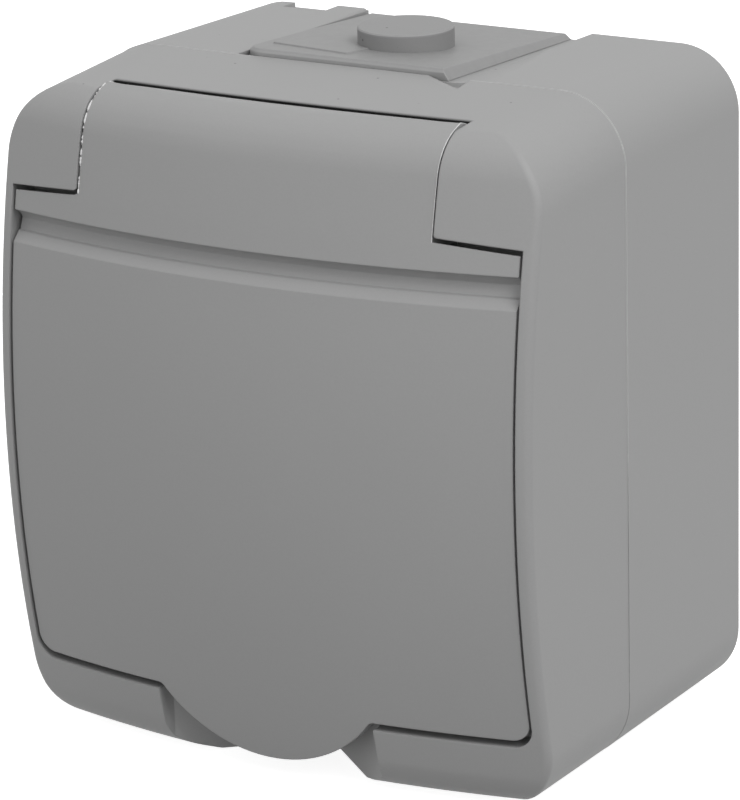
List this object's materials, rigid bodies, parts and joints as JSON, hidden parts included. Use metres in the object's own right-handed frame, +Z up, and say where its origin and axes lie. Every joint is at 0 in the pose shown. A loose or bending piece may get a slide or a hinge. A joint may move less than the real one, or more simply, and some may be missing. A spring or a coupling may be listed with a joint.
{
  "type": "outdoor weatherproof socket",
  "caption": "Grey surface-mounted box with a bowed spring-shut lid over a round earthed socket well, a finger tongue below and a rubber-plugged cable entry on top.",
  "frame": {"origin": "middle of the flat rear face that lies on the wall, at mid-height of the box", "axes": "+X right seen from the front, +Y into the wall, so the front faces -Y, +Z up"},
  "size_m": [0.075, 0.0596, 0.0869],
  "materials": {
    "housing": "satin moulded mid-grey plastic",
    "grommet": "matt grey rubber",
    "seal": "soft black foam rubber",
    "well": "satin grey plastic",
    "carrier": "matt cream thermoset",
    "brass": "pressed brass strip",
    "steel": "zinc-plated steel"
  },
  "bodies": {
    "housing": {"back_box": "housing", "front_cover": "housing", "hinge_pin_left": "steel", "hinge_pin_right": "steel", "lid_spring": "steel", "joint_seal": "seal", "entry_plate": "housing", "entry_grommet": "grommet", "socket_well": "well", "contact_carrier": "carrier", "live_contact": "brass", "neutral_contact": "brass", "earth_strap": "brass", "terminal_screws": "steel", "terminal_clamps": "steel", "well_screw": "steel", "carrier_screws": "steel", "cover_screws": "steel", "screw_rings": "seal"},
    "lid": {"lid": "housing", "lid_seal": "seal"}
  },
  "joints": [
    {"name": "lid_hinge", "type": "hinge", "parent": "housing", "child": "lid", "pos_m": [0, -0.0493, 0.0346], "axis": [-1, 0, 0], "range_deg": [0, 110], "stiffness_Nm_per_rad": 0.01, "springref_deg": -28.65}
  ]
}
